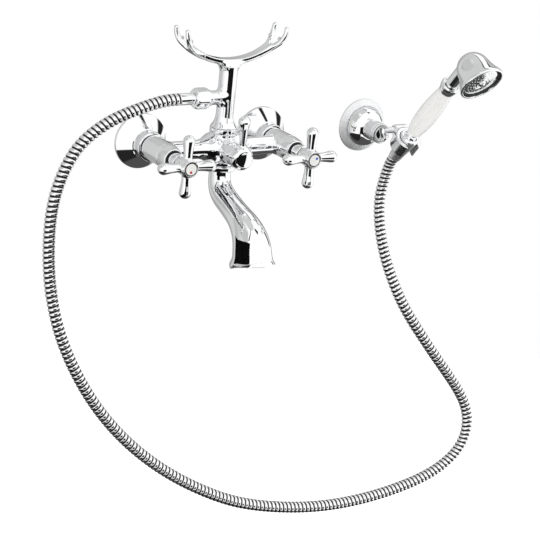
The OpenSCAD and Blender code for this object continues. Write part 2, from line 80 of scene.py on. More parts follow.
# ---------------------------------------------------------------- mesh tools (millimetres in, metres out)
def frame_matrix(origin=(0, 0, 0), x=(1, 0, 0), y=(0, 1, 0), z=(0, 0, 1)):
    m = np.eye(4)
    m[:3, 0], m[:3, 1], m[:3, 2], m[:3, 3] = x, y, z, origin
    return m


def rot_x(deg):
    c, s = math.cos(math.radians(deg)), math.sin(math.radians(deg))
    m = np.eye(4)
    m[1, 1], m[1, 2], m[2, 1], m[2, 2] = c, -s, s, c
    return m


def rot_z(deg):
    c, s = math.cos(math.radians(deg)), math.sin(math.radians(deg))
    m = np.eye(4)
    m[0, 0], m[0, 1], m[1, 0], m[1, 1] = c, -s, s, c
    return m


def shift(x, y, z):
    m = np.eye(4)
    m[:3, 3] = (x, y, z)
    return m


def front(x=0.0, z=0.0):
    """local z runs out from the wall, local x is X, local y is Z"""
    return frame_matrix((x, 0, z), (1, 0, 0), (0, 0, 1), (0, -1, 0))


def leftward():
    """local z runs to the left along the hose outlet"""
    return frame_matrix((0, -46, 55.5), (0, 0, 1), (0, 1, 0), (-1, 0, 0))


UP = frame_matrix((0, -46, 0))
CLIP = shift(242, -48, -8.5) @ rot_x(39)
HAND = CLIP @ rot_z(4)
FACE = HAND @ shift(0, -31.4, 150) @ rot_x(-90)


def put(m, p):
    p = np.asarray(p, float)
    return p @ m[:3, :3].T + m[:3, 3]


def local(m, p):
    return (p - m[:3, 3]) @ m[:3, :3]


def new_mesh(name, verts_mm, faces, sharp=40.0, normals=None):
    me = bpy.data.meshes.new(name)
    me.from_pydata((np.asarray(verts_mm, float) * 0.001).tolist(), [], [tuple(int(i) for i in f) for f in faces])
    me.validate()
    me.polygons.foreach_set("use_smooth", np.ones(len(me.polygons), bool))
    if normals is not None:
        me.normals_split_custom_set_from_vertices(np.asarray(normals, float).tolist())
    elif sharp:
        nf = np.zeros(len(me.polygons) * 3)
        me.polygons.foreach_get("normal", nf)
        nf = nf.reshape(-1, 3)
        pair = {}
        for p in me.polygons:
            for k in p.edge_keys:
                pair.setdefault(k, []).append(p.index)
        lim = math.cos(math.radians(sharp))
        for ed in me.edges:
            fs = pair.get(ed.key, [])
            if len(fs) == 2 and float(nf[fs[0]] @ nf[fs[1]]) < lim:
                ed.use_edge_sharp = True
    ob = bpy.data.objects.new(name, me)
    scene.collection.objects.link(ob)
    return ob


def fillet(points, n=6):
    """closed outline of (r, z) or (r, z, corner radius) points with its corners rounded"""
    out = []
    m = len(points)
    for i in range(m):
        p = np.array(points[i][:2], float)
        rad = points[i][2] if len(points[i]) > 2 else 0.0
        if rad <= 0:
            out.append(p)
            continue
        a = np.array(points[i - 1][:2], float) - p
        b = np.array(points[(i + 1) % m][:2], float) - p
        la, lb = np.linalg.norm(a), np.linalg.norm(b)
        a, b = a / la, b / lb
        ang = math.acos(max(-1, min(1, float(a @ b))))
        t = min(rad / math.tan(ang / 2), 0.49 * la, 0.49 * lb)
        rr = t * math.tan(ang / 2)
        c = p + (a + b) / np.linalg.norm(a + b) * (rr / math.sin(ang / 2))
        v0, v1 = p + a * t - c, p + b * t - c
        th = math.acos(max(-1, min(1, float(v0 @ v1) / (rr * rr + 1e-12))))
        for k in range(n + 1):
            s = k / n
            if th < 1e-6:
                out.append(c + v0)
            else:
                out.append(c + (math.sin((1 - s) * th) * v0 + math.sin(s * th) * v1) / math.sin(th))
    return out


def spline(points, n=8):
    """points on a smooth curve through the given ones (centripetal Catmull-Rom)"""
    p = [np.array(q, float) for q in points]
    p = [2 * p[0] - p[1]] + p + [2 * p[-1] - p[-2]]
    out = []
    for i in range(1, len(p) - 2):
        a, b, c, d = p[i - 1], p[i], p[i + 1], p[i + 2]
        t0 = 0.0
        t1 = t0 + max(np.linalg.norm(b - a), 1e-9) ** 0.5
        t2 = t1 + max(np.linalg.norm(c - b), 1e-9) ** 0.5
        t3 = t2 + max(np.linalg.norm(d - c), 1e-9) ** 0.5
        for k in range(n):
            t = t1 + (t2 - t1) * k / n
            a1 = (t1 - t) / (t1 - t0) * a + (t - t0) / (t1 - t0) * b
            a2 = (t2 - t) / (t2 - t1) * b + (t - t1) / (t2 - t1) * c
            a3 = (t3 - t) / (t3 - t2) * c + (t - t2) / (t3 - t2) * d
            b1 = (t2 - t) / (t2 - t0) * a1 + (t - t0) / (t2 - t0) * a2
            b2 = (t3 - t) / (t3 - t1) * a2 + (t - t1) / (t3 - t1) * a3
            out.append((t2 - t) / (t2 - t1) * b1 + (t - t1) / (t2 - t1) * b2)
    out.append(p[-2])
    return out


def lathe_data(profile, m, seg=96):
    """vertices and faces of a closed outline of (r, z) turned about local z"""
    prof = [(max(float(q[0]), 0.0), float(q[1])) for q in profile]
    keep = [prof[0]]
    for q in prof[1:]:
        if math.hypot(q[0] - keep[-1][0], q[1] - keep[-1][1]) > 1e-5:
            keep.append(q)
    if math.hypot(keep[0][0] - keep[-1][0], keep[0][1] - keep[-1][1]) < 1e-5:
        keep.pop()
    area = sum(keep[i][0] * keep[(i + 1) % len(keep)][1] - keep[(i + 1) % len(keep)][0] * keep[i][1] for i in range(len(keep)))
    if area < 0:
        keep.reverse()
    verts, rows = [], []
    for r, z in keep:
        if r < 1e-6:
            rows.append([len(verts)])
            verts.append((0, 0, z))
        else:
            rows.append(list(range(len(verts), len(verts) + seg)))
            for k in range(seg):
                t = 2 * math.pi * k / seg
                verts.append((r * math.cos(t), r * math.sin(t), z))
    faces = []
    for i in range(len(rows)):
        a, b = rows[i], rows[(i + 1) % len(rows)]
        if len(a) == 1 and len(b) == 1:
            continue
        for k in range(seg):
            k2 = (k + 1) % seg
            if len(a) == 1:
                faces.append((a[0], b[k2], b[k]))
            elif len(b) == 1:
                faces.append((a[k], a[k2], b[0]))
            else:
                faces.append((a[k], a[k2], b[k2], b[k]))
    return put(m, np.array(verts)), faces


def lathe(name, profile, m, seg=96, sharp=32.0):
    v, f = lathe_data(profile, m, seg)
    return new_mesh(name, v, f, sharp)


def lathe_many(name, items, seg=96, sharp=32.0):
    vs, fs, n = [], [], 0
    for profile, m in items:
        v, f = lathe_data(profile, m, seg)
        vs.append(v)
        fs += [tuple(i + n for i in q) for q in f]
        n += len(v)
    return new_mesh(name, np.concatenate(vs), fs, sharp)


# ---------------------------------------------------------------- smooth solids from distance functions
def smin(a, b, k):
    h = np.clip(0.5 + 0.5 * (b - a) / k, 0, 1)
    return b + (a - b) * h - k * h * (1 - h)


def smax(a, b, k):
    return -smin(-a, -b, k)


def d_outline(poly):
    """signed distance to a closed outline in the (r, z) plane"""
    q = np.array([p[:2] for p in poly], float)
    nx = np.roll(q, -1, axis=0)

    def f(r, z):
        p = np.stack([r, z], -1)
        best = np.full(len(p), 1e18)
        inside = np.zeros(len(p), bool)
        for a, b in zip(q, nx):
            e = b - a
            w = p - a
            t = np.clip((w @ e) / (e @ e + 1e-18), 0, 1)
            dd = w - t[:, None] * e
            best = np.minimum(best, (dd * dd).sum(1))
            c = (a[1] > p[:, 1]) != (b[1] > p[:, 1])
            with np.errstate(divide="ignore", invalid="ignore"):
                x = (b[0] - a[0]) * (p[:, 1] - a[1]) / (b[1] - a[1] + 1e-30) + a[0]
            inside ^= c & (p[:, 0] < x)
        return np.where(inside, -1, 1) * np.sqrt(best)

    return f


def d_turned(poly, m):
    """a closed outline turned about local z; the outline reaches past the axis"""
    f = d_outline(poly)

    def g(p):
        q = local(m, p)
        return f(np.hypot(q[:, 0], q[:, 1]), q[:, 2])

    return g


def d_round_cone(p, a, b, r1, r2):
    a, b = np.array(a, float), np.array(b, float)
    ba = b - a
    l2 = ba @ ba
    rr = r1 - r2
    a2 = l2 - rr * rr
    il2 = 1.0 / l2
    pa = p - a
    y = pa @ ba
    z = y - l2
    xx = ((pa * l2 - y[:, None] * ba) ** 2).sum(1)
    y2, z2 = y * y * l2, z * z * l2
    k = np.sign(rr) * rr * rr * xx
    c1 = np.sign(z) * a2 * z2 > k
    c2 = np.sign(y) * a2 * y2 < k
    out = (np.sqrt(np.maximum(xx * a2 * il2, 0)) + y * rr) * il2 - r1
    out = np.where(c2, np.sqrt(xx + y2) * il2 - r1, out)
    return np.where(c1, np.sqrt(xx + z2) * il2 - r2, out)


def solid(name, f, lo, hi, h, slack=0.6):
    """mesh of f < 0 between two corners, with its points and normals taken from f itself"""
    lo, hi = np.array(lo, float), np.array(hi, float)
    blk = 5
    nb = np.ceil(((hi - lo) / h + 1) / blk).astype(int)
    n = nb * blk
    # coarse blocks first: only those that the surface can reach are looked at closely
    cen = np.stack(np.meshgrid(*[lo[i] + h * (blk * np.arange(nb[i]) + (blk - 1) / 2) for i in range(3)], indexing="ij"), -1).reshape(-1, 3)
    cv = np.concatenate([f(cen[i:i + 100000]) for i in range(0, len(cen), 100000)])
    near = np.abs(cv) < 0.9 * blk * h + slack
    off = np.stack(np.meshgrid(*[np.arange(blk)] * 3, indexing="ij"), -1).reshape(-1, 3)
    ib = np.argwhere(near.reshape(nb))
    v = np.repeat(np.repeat(np.repeat(cv.reshape(nb), blk, 0), blk, 1), blk, 2)
    for i in range(0, len(ib), 1500):
        q = (ib[i:i + 1500, None, :] * blk + off[None]).reshape(-1, 3)
        v[q[:, 0], q[:, 1], q[:, 2]] = f(lo + h * q)
    s = v < 0
    c = np.zeros(n - 1, int)
    for i in (0, 1):
        for j in (0, 1):
            for k in (0, 1):
                c += s[i:n[0] - 1 + i, j:n[1] - 1 + j, k:n[2] - 1 + k]
    active = (c > 0) & (c < 8)
    idx = np.full(n - 1, -1)
    cells = np.argwhere(active)
    idx[active] = np.arange(len(cells))
    acc, cnt = np.zeros((len(cells), 3)), np.zeros(len(cells))
    corner = lambda o: v[cells[:, 0] + o[0], cells[:, 1] + o[1], cells[:, 2] + o[2]]
    for axis in range(3):
        for j in (0, 1):
            for k in (0, 1):
                o0 = [0, 0, 0]
                o0[(axis + 1) % 3], o0[(axis + 2) % 3] = j, k
                o1 = list(o0)
                o1[axis] = 1
                v0, v1 = corner(o0), corner(o1)
                cut = (v0 < 0) != (v1 < 0)
                t = np.where(cut, v0 / np.where(cut, v0 - v1, 1), 0)
                q = np.tile(np.array(o0, float), (len(cells), 1))
                q[:, axis] = t
                acc += np.where(cut[:, None], q, 0)
                cnt += cut
    p = lo + h * (cells + acc / cnt[:, None])

    def grad(x, e=0.02):
        gr = np.zeros_like(x)
        for i in range(3):
            d = np.zeros(3)
            d[i] = e
            gr[:, i] = (f(x + d) - f(x - d)) / (2 * e)
        return gr

    for _ in range(4):
        gr = grad(p)
        step = (f(p) / np.maximum((gr * gr).sum(1), 0.05))[:, None] * gr
        ln = np.linalg.norm(step, axis=1)
        p = p - step * np.minimum(1, 0.5 * h / np.maximum(ln, 1e-9))[:, None]
    nr = grad(p, 0.06)
    nr /= np.maximum(np.linalg.norm(nr, axis=1), 1e-9)[:, None]
    faces = []
    for a in range(3):
        b, c2 = (a + 1) % 3, (a + 2) % 3
        sl0, sl1 = [slice(None)] * 3, [slice(None)] * 3
        sl0[a], sl1[a] = slice(0, n[a] - 1), slice(1, n[a])
        s0, s1 = s[tuple(sl0)], s[tuple(sl1)]
        for flip, mask in ((False, s0 & ~s1), (True, ~s0 & s1)):
            e = np.argwhere(mask)
            ok = (e[:, b] > 0) & (e[:, c2] > 0) & (e[:, b] < n[b] - 1) & (e[:, c2] < n[c2] - 1)
            e = e[ok]
            quad = []
            for ob, oc in ((-1, -1), (0, -1), (0, 0), (-1, 0)):
                q = e.copy()
                q[:, b] += ob
                q[:, c2] += oc
                quad.append(idx[q[:, 0], q[:, 1], q[:, 2]])
            quad = np.stack(quad, 1)
            faces.append(quad[:, ::-1] if flip else quad)
    faces = np.concatenate(faces)
    return new_mesh(name, p, faces, normals=nr)


# ---------------------------------------------------------------- materials
def material(name, base, metallic=0.0, rough=0.3):
    m = bpy.data.materials.new(name)
    m.use_nodes = True
    nt = m.node_tree
    b = nt.nodes["Principled BSDF"]
    b.inputs["Base Color"].default_value = (*base, 1)
    b.inputs["Metallic"].default_value = metallic
    b.inputs["Roughness"].default_value = rough
    return m, nt, b


def noise(nt, scale, detail=3.0, rough=0.5, stretch=None):
    co = nt.nodes.new("ShaderNodeTexCoord")
    n = nt.nodes.new("ShaderNodeTexNoise")
    n.inputs["Scale"].default_value = scale
    n.inputs["Detail"].default_value = detail
    n.inputs["Roughness"].default_value = rough
    if stretch:
        mp = nt.nodes.new("ShaderNodeMapping")
        mp.inputs["Scale"].default_value = stretch
        nt.links.new(co.outputs["Object"], mp.inputs["Vector"])
        nt.links.new(mp.outputs["Vector"], n.inputs["Vector"])
    else:
        nt.links.new(co.outputs["Object"], n.inputs["Vector"])
    return n


def ranged(nt, src, lo, hi, a=0.3, b=0.7):
    r = nt.nodes.new("ShaderNodeMapRange")
    r.inputs["From Min"].default_value = a
    r.inputs["From Max"].default_value = b
    r.inputs["To Min"].default_value = lo
    r.inputs["To Max"].default_value = hi
    nt.links.new(src, r.inputs["Value"])
    return r.outputs["Result"]


def tint(nt, src, c0, c1, a=0.3, b=0.7):
    r = nt.nodes.new("ShaderNodeValToRGB")
    r.color_ramp.elements[0].position = a
    r.color_ramp.elements[1].position = b
    r.color_ramp.elements[0].color = (*c0, 1)
    r.color_ramp.elements[1].color = (*c1, 1)
    nt.links.new(src, r.inputs["Fac"])
    return r.outputs["Color"]


def bump(nt, b, src, strength, distance):
    n = nt.nodes.new("ShaderNodeBump")
    n.inputs["Strength"].default_value = strength
    n.inputs["Distance"].default_value = distance
    nt.links.new(src, n.inputs["Height"])
    nt.links.new(n.outputs["Normal"], b.inputs["Normal"])


def make_chrome(name="chrome", base=(0.945, 0.95, 0.955), dark=(0.915, 0.92, 0.93), r0=0.012, r1=0.035):
    """polished plating, with a satin finish where a mesh carries the attribute "satin\""""
    m, nt, b = material(name, base, 1.0, 0.02)
    at = nt.nodes.new("ShaderNodeAttribute")
    at.attribute_name = "satin"
    both = nt.nodes.new("ShaderNodeMath")
    both.operation = "MULTIPLY_ADD"
    nt.links.new(at.outputs["Fac"], both.inputs[0])
    both.inputs[1].default_value = 0.5
    nt.links.new(ranged(nt, noise(nt, 180.0, 4.0).outputs["Fac"], r0, r1), both.inputs[2])
    nt.links.new(both.outputs[0], b.inputs["Roughness"])
    nt.links.new(tint(nt, noise(nt, 30.0, 2.0).outputs["Fac"], dark, base), b.inputs["Base Color"])
    return m


CHROME = make_chrome()


def make_hose_metal():
    """plated strip with painted shade: the base colour goes near black where the turns lock"""
    m, nt, b = material("hose_metal", (0.93, 0.93, 0.93), 1.0, 0.06)
    at = nt.nodes.new("ShaderNodeAttribute")
    at.attribute_name = "groove_shade"
    # painted shade: this attribute darkens the base colour to near black in the seams between turns
    nt.links.new(tint(nt, at.outputs["Fac"], (0.94, 0.94, 0.945), (0.03, 0.03, 0.032), 0.2, 0.75), b.inputs["Base Color"])
    nt.links.new(ranged(nt, noise(nt, 220.0, 4.0).outputs["Fac"], 0.03, 0.09), b.inputs["Roughness"])
    return m


HOSE = make_hose_metal()


def make_porcelain():
    m, nt, b = material("porcelain", (0.93, 0.925, 0.905), 0.0, 0.12)
    nt.links.new(tint(nt, noise(nt, 30.0, 3.0).outputs["Fac"], (0.80, 0.793, 0.77), (0.84, 0.833, 0.812)), b.inputs["Base Color"])
    nt.links.new(ranged(nt, noise(nt, 120.0, 3.0).outputs["Fac"], 0.08, 0.16), b.inputs["Roughness"])
    b.inputs["Coat Weight"].default_value = 0.6
    b.inputs["Coat Roughness"].default_value = 0.04
    return m


PORCELAIN = make_porcelain()


def make_plain(name, c0, c1, scale, metallic, r0, r1, bs=0.1, bd=0.0002, stretch=None):
    m, nt, b = material(name, c1, metallic, (r0 + r1) / 2)
    n = noise(nt, scale, 4.0, 0.55, stretch)
    nt.links.new(tint(nt, n.outputs["Fac"], c0, c1), b.inputs["Base Color"])
    nt.links.new(ranged(nt, n.outputs["Fac"], r0, r1), b.inputs["Roughness"])
    bump(nt, b, n.outputs["Fac"], bs, bd)
    return m


BRASS = make_plain("brass", (0.55, 0.40, 0.17), (0.80, 0.62, 0.32), 180.0, 1.0, 0.18, 0.34)
RUBBER = make_plain("rubber", (0.012, 0.012, 0.013), (0.03, 0.03, 0.031), 400.0, 0.0, 0.5, 0.75, 0.2)
FIBRE = make_plain("fibre", (0.25, 0.08, 0.05), (0.42, 0.16, 0.11), 600.0, 0.0, 0.7, 0.9, 0.3)
CERAMIC = make_plain("disc_ceramic", (0.84, 0.84, 0.80), (0.93, 0.93, 0.90), 90.0, 0.0, 0.2, 0.35)
STEEL = make_plain("steel", (0.42, 0.43, 0.44), (0.62, 0.63, 0.65), 220.0, 1.0, 0.25, 0.45)
PLASTIC = make_plain("pale_plastic", (0.70, 0.70, 0.68), (0.80, 0.80, 0.78), 150.0, 0.0, 0.3, 0.45)
RED = make_plain("red_enamel", (0.42, 0.006, 0.02), (0.56, 0.012, 0.03), 500.0, 0.0, 0.15, 0.25)
BLUE = make_plain("blue_enamel", (0.02, 0.05, 0.40), (0.04, 0.09, 0.55), 500.0, 0.0, 0.15, 0.25)
BUFFER = make_plain("clear_buffer", (0.70, 0.70, 0.68), (0.84, 0.84, 0.82), 300.0, 0.0, 0.2, 0.35)
BUFFER.node_tree.nodes["Principled BSDF"].inputs["Transmission Weight"].default_value = 0.35

SLOTS = {"chrome": CHROME, "brass": BRASS, "rubber": RUBBER, "fibre": FIBRE, "disc_ceramic": CERAMIC, "porcelain": PORCELAIN,
         "red_enamel": RED, "blue_enamel": BLUE, "steel": STEEL, "pale_plastic": PLASTIC, "clear_buffer": BUFFER, "hose_metal": HOSE}
for part in frame["record"]["subparts"]:
    ob = NODES[part["node"]]
    ob.data.materials.clear()
    ob.data.materials.append(SLOTS[part["material_slot"]])


def piece(ob, body, slot, *nodes):
    ob.data.materials.append(SLOTS[slot])
    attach(ob, body)
    if nodes:
        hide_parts(*nodes)
    return ob


def satin(ob, m, where):
    """marks the part of a mesh that has the satin finish; where() takes points in the frame m"""
    co = np.zeros(len(ob.data.vertices) * 3)
    ob.data.vertices.foreach_get("co", co)
    w = where(local(m, co.reshape(-1, 3) * 1000))
    ob.data.attributes.new("satin", "FLOAT", "POINT").data.foreach_set("value", np.asarray(w, float))
    return ob


# ---------------------------------------------------------------- hose
ROUTE_MAIN = [
    (-57, -46, 55.5), (-72, -46, 55), (-88, -46, 52), (-105, -46, 47), (-125, -46, 41), (-142, -46, 33),
    (-159, -46, 22), (-173, -46, 8), (-184, -47, -10), (-193, -48, -32), (-199, -50, -60), (-201, -54, -94),
    (-200, -58, -126), (-195, -63, -160), (-186, -68, -192), (-172, -73, -224), (-151, -78, -261),
    (-122, -83, -298), (-90, -88, -329), (-53, -93, -357), (-15, -98, -379), (25, -101, -398), (68, -103, -410),
    (111, -105, -418), (155, -106, -422), (198, -107, -421), (238, -107, -417), (274, -107, -410),
    (298, -106, -403), (317, -105, -394), (333, -104, -382), (343, -102, -367), (347, -99, -349), (345, -95, -331),
    (336, -90, -312), (320, -85, -290), (299, -78, -263), (280, -69, -236), (264, -60, -211), (254, -52, -190),
    (247, -43, -169)]
ROUTE_END = [
    (247, -43, -169), (241, -35, -147), (237, -28, -123), (236, -22, -101), (237, -18, -80), (240, -18, -62),
    (242, -21, -46), (242, -25.5, -36.5), (242, -31, -29.5)]
HOSE_R = 6.5
PITCH = 5.25


def make_hose():
    pts = ROUTE_MAIN + ROUTE_END[1:]
    ext = [(-42, -46, 55.5)] + pts + [(242, -31 - 0.6293 * 15, -29.5 + 0.7771 * 15)]
    dense = np.array(spline(ext, 24))
    # smooth the listed points a little, keeping the ends
    i0 = 24
    i1 = len(dense) - 25
    core = dense.copy()
    for _ in range(220):
        core[1:-1] += 0.35 * (core[:-2] + core[2:] - 2 * core[1:-1]) * 0.9
    w = np.ones(len(dense))
    for i in range(len(dense)):
        w[i] = min(1.0, max(0.0, (i - i0) / 40.0), max(0.0, (i1 - i) / 40.0))
    jn = i0 + 24 * (len(ROUTE_MAIN) - 1)
    dense = dense * (1 - w[:, None]) + core * w[:, None]
    dense = dense[i0:i1 + 1]
    seg = np.linalg.norm(np.diff(dense, axis=0), axis=1)
    s = np.concatenate([[0], np.cumsum(seg)])
    cut = s[jn - i0]
    total = s[-1]
    per = 14
    cut_a = s[24 * ROUTE_MAIN.index((347, -99, -349))]
    turns_main = round(cut_a / PITCH)
    turns_mid = round((cut - cut_a) / PITCH)
    turns_end = round((total - cut) / PITCH)

    def along(q):
        return np.stack([np.interp(q, s, dense[:, i]) for i in range(3)], -1)

    def tube(name, a, b, turns, end_a, end_b):
        n = turns * per + 1
        q = np.linspace(a, b, n)
        c = along(q)
        e = 1.5
        t = along(np.clip(q + e, 0, total)) - along(np.clip(q - e, 0, total))
        if end_a is not None:
            t[0] = end_a
        if end_b is not None:
            t[-1] = end_b
        t /= np.linalg.norm(t, axis=1)[:, None]
        u = np.cross(t, (0, 1, 0))
        u /= np.linalg.norm(u, axis=1)[:, None]
        v = np.cross(t, u)
        sides = 32
        ph = np.arange(n) / per
        verts, dark = [], []
        for k in range(sides):
            th = 2 * math.pi * k / sides
            # one wound strip: a broad crown with rounded shoulders, then the sunken seam where the turns lock
            x = np.abs((ph - k / sides) % 1.0 - 0.5) * 2
            fall = np.clip((x - 0.40) / 0.34, 0, 1)
            rad = HOSE_R - 0.10 * np.minimum(x / 0.4, 1) ** 2 - 1.05 * (1 - np.sqrt(1 - fall ** 2))
            # painted shade: the base colour goes near black down in each seam, where the turns shade each other
            dark.append(np.clip((x - 0.52) / 0.2, 0, 1))
            verts.append(c + rad[:, None] * (math.cos(th) * u + math.sin(th) * v))
        dark = np.stack(dark, 1).reshape(-1)
        verts = np.stack(verts, 1).reshape(-1, 3)
        i, k = np.meshgrid(np.arange(n - 1), np.arange(sides), indexing="ij")
        k2 = (k + 1) % sides
        quads = np.stack([i * sides + k, i * sides + k2, (i + 1) * sides + k2, (i + 1) * sides + k], -1).reshape(-1, 4)
        faces = [tuple(f) for f in quads.tolist()]
        faces.append(tuple(range(sides - 1, -1, -1)))
        faces.append(tuple((n - 1) * sides + k for k in range(sides)))
        ob = new_mesh(name, verts, faces, sharp=60.0)
        ob.data.attributes.new("groove_shade", "FLOAT", "POINT").data.foreach_set("value", dark)
        return ob, c

    main, cm = tube("hose_long", 0.0, cut_a, turns_main, (-1, 0, 0), None)
    mid, cd = tube("hose_mid", cut_a, cut, turns_mid, None, None)
    end, ce = tube("hose_short", cut, total, turns_end, None, (0, -0.6293, 0.7771))
    return [(ob, c, float(np.linalg.norm(np.diff(c, axis=0), axis=1).sum())) for ob, c in ((main, cm), (mid, cd), (end, ce))]


(hose_long, path_long, len_long), (hose_mid, path_mid, len_mid), (hose_short, path_short, len_short) = make_hose()
for ob, node, a, b, s0, s1 in (
        (hose_long, "hose_main", "mixer", None, None, None),
        (hose_mid, "hose_main", "mixer", "holder", tuple((path_mid[0] / 1000).tolist()), tuple((path_mid[-1] / 1000).tolist())),
        (hose_short, "hose_end", "holder", "handset", (0.243, -0.037, -0.150), (0.242, -0.024, -0.038))):
    ob.data.materials.append(HOSE)
    ob.visible_glossy = False
    if b is None:
        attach(ob, a)
    else:
        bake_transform(ob)
        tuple(s0)
        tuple(s1)
    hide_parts(node)


# ---------------------------------------------------------------- wall flanges and unions
def flange_profile():
    return fillet([(30, 0, 0.3), (30, 3.6, 0.9), (17.0, 16.3, 0.6), (16.0, 16.8, 0.3), (13.6, 16.8), (13.6, 14.6), (27, 3), (27, 0)])


for side, x in (("left", -75), ("right", 75)):
    piece(lathe("flange_" + side, flange_profile(), front(x), 128), "mixer", "chrome", "wall_flange_" + side)
nut_prof = fillet([(13.3, 17), (16, 17, 0.7), (16, 28.5, 1.0), (11.4, 28.5), (11.4, 26.2), (13.3, 26.2)])
piece(lathe_many("unions", [(nut_prof, front(-75)), (nut_prof, front(75))], 96), "mixer", "chrome", "union_nuts")
# painted shade: a black ring with no part behind it, standing in for the dark line where each union nut meets the body
union_shade_prof = fillet([(11.05, 28.6), (12.7, 28.6, 0.3), (12.7, 30.3, 0.3), (11.05, 30.3)])
piece(lathe_many("union_shade_rings", [(union_shade_prof, front(-75)), (union_shade_prof, front(75))], 96), "mixer", "rubber")


# ---------------------------------------------------------------- body
def body_distance():
    barrel = fillet([(-5, 24), (11, 24), (11, 30.4), (13.5, 30.4, 0.4), (13.5, 62, 0.25), (-5, 62)])
    half = [(10, 76), (10, 33), (10.15, 30), (10.7, 27), (11.8, 24), (13.5, 21), (15.6, 18), (17.0, 15.4), (17.5, 12.5)]
    sp = [tuple(q) for q in spline(half, 4)]
    spool = [(-5, 76)] + sp + [(q[0], -q[1]) for q in reversed(sp)] + [(-5, -76)]
    boss = fillet([(-5, -17.5), (14.2, -17.5, 1.0), (14.2, 17.5, 1.0), (-5, 17.5)])
    neck = [(-5, -22), (12, -22), (12, 22), (-5, 22)]
    div = fillet([(-5, 46), (13, 46), (13, 62, 0.7), (-5, 62)])
    along_x = frame_matrix((0, -46, 0), (0, 1, 0), (0, 0, 1), (1, 0, 0))
    fs = [d_turned(barrel, front(-75)), d_turned(barrel, front(75)), d_turned(spool, along_x), d_turned(boss, UP), d_turned(div, front())]
    fn = d_turned(neck, UP)

    def f(p):
        ends = np.minimum(fs[0](p), fs[1](p))
        mid = smin(smin(fs[2](p), fs[3](p), 2.0), fs[4](p), 2.0)
        return np.minimum(smin(ends, mid, 3.0), fn(p))

    return f


piece(solid("body_casting", body_distance(), (-90, -64, -24), (90, -22, 24), 0.65, 1.6), "mixer", "chrome", "mixer_body")

bonnet_prof = fillet([(11.2, 62.2), (13.25, 62.2, 0.2), (13.3, 62.6)]) + \
    spline([(13.3, 64.5), (13.1, 67.5), (12.7, 70), (12.1, 72.6), (11.45, 75), (11.0, 76.0), (10.4, 76.4), (9.9, 76.2), (9.7, 75.4)], 5) + \
    [np.array(q) for q in ((9.5, 73.6), (9.2, 73.2), (8.6, 73.2), (8.2, 73.8))] + spline([(8.2, 74.4), (8.2, 76), (8.4, 79), (8.8, 83), (9.4, 87), (9.8, 90.4)], 4) + \
    [np.array(q) for q in ((9.5, 91.0), (9.2, 91.2), (7, 91.2), (7, 68), (11.2, 66.2))]
# painted shade: a black ring with no part behind it, standing in for the dark arc where each bonnet's flare meets its
# neck
neck_shade_ring = fillet([(8.25, 73.3), (9.4, 73.3), (9.6, 75.2, 0.2), (8.9, 75.5, 0.3), (8.25, 75.2, 0.2)])
for side, x in (("left", -75), ("right", 75)):
    piece(lathe("sleeve_" + side, bonnet_prof, front(x)), "mixer", "chrome", "bonnet_" + side)
    piece(lathe("neck_shade_ring_" + side, neck_shade_ring, front(x)), "mixer", "rubber")


# ---------------------------------------------------------------- cross handles
def arm_outline(reach, pts, rb):
    zc = reach - rb
    prof = [tuple(q) for q in spline(pts, 5)]
    ball = [(rb * math.cos(math.radians(t)), zc + rb * math.sin(math.radians(t))) for t in range(0, 91, 6)]
    prof = [q for q in prof if q[1] < zc - 0.3] + ball
    return [(-6, prof[0][1])] + prof + [(-6, reach)]


def handle_distance(x):
    m = front(x)
    hub = fillet([(-5, 92), (8.4, 92, 1.2), (9.5, 97.5, 3.0), (9.5, 109.6, 2.5), (8.6, 112.2, 1.2), (-5, 112.2)])
    arm = d_outline(arm_outline(33.5, [(4.9, 2), (4.9, 8), (4.75, 11.5), (4.8, 14), (5.1, 18), (5.65, 22), (6.15, 25.5), (6.35, 28)], 6.35))
    hubf = d_turned(hub, m)

    def f(p):
        q = local(m, p)
        ax, ay = np.abs(q[:, 0]), np.abs(q[:, 1])
        rho, lat = np.maximum(ax, ay), np.minimum(ax, ay)
        a = arm(np.hypot(lat, q[:, 2] - 104), rho)
        return smin(hubf(p), a, 1.6)

    return f


index_prof = fillet([(0, 111.0), (6.5, 111.0), (6.5, 111.9), (6.05, 112.2), (6.05, 113.3, 0.5), (4.9, 113.9, 1.5), (0, 114.0)])
bezel_prof = fillet([(7.25, 111.0), (8.75, 111.0), (8.75, 112.6, 0.5), (8.2, 113.3, 0.3), (7.6, 113.3, 0.3), (7.25, 112.9, 0.2)])


def with_ring(ob, profile, m, seg=96):
    """adds a turned ring to a mesh that is already made, keeping the normals of both"""
    me = ob.data
    n0 = len(me.vertices)
    co = np.zeros(n0 * 3)
    me.vertices.foreach_get("co", co)
    nr = np.zeros(len(me.loops) * 3)
    me.corner_normals.foreach_get("vector", nr)
    nr = nr.reshape(-1, 3)
    vi = np.zeros(len(me.loops), int)
    me.loops.foreach_get("vertex_index", vi)
    faces = [tuple(p.vertices) for p in me.polygons]
    tmp = lathe("tmp_ring", profile, m, seg, 32.0)
    rm = tmp.data
    rco = np.zeros(len(rm.vertices) * 3)
    rm.vertices.foreach_get("co", rco)
    rn = np.zeros(len(rm.loops) * 3)
    rm.corner_normals.foreach_get("vector", rn)
    rf = [tuple(i + n0 for i in p.vertices) for p in rm.polygons]
    bpy.data.objects.remove(tmp)
    name = me.name
    out = bpy.data.meshes.new(name + "_r")
    out.from_pydata(np.concatenate([co, rco]).reshape(-1, 3).tolist(), [], faces + rf)
    out.polygons.foreach_set("use_smooth", np.ones(len(out.polygons), bool))
    out.normals_split_custom_set(np.concatenate([nr, rn.reshape(-1, 3)]).tolist())
    ob.data = out
    return ob


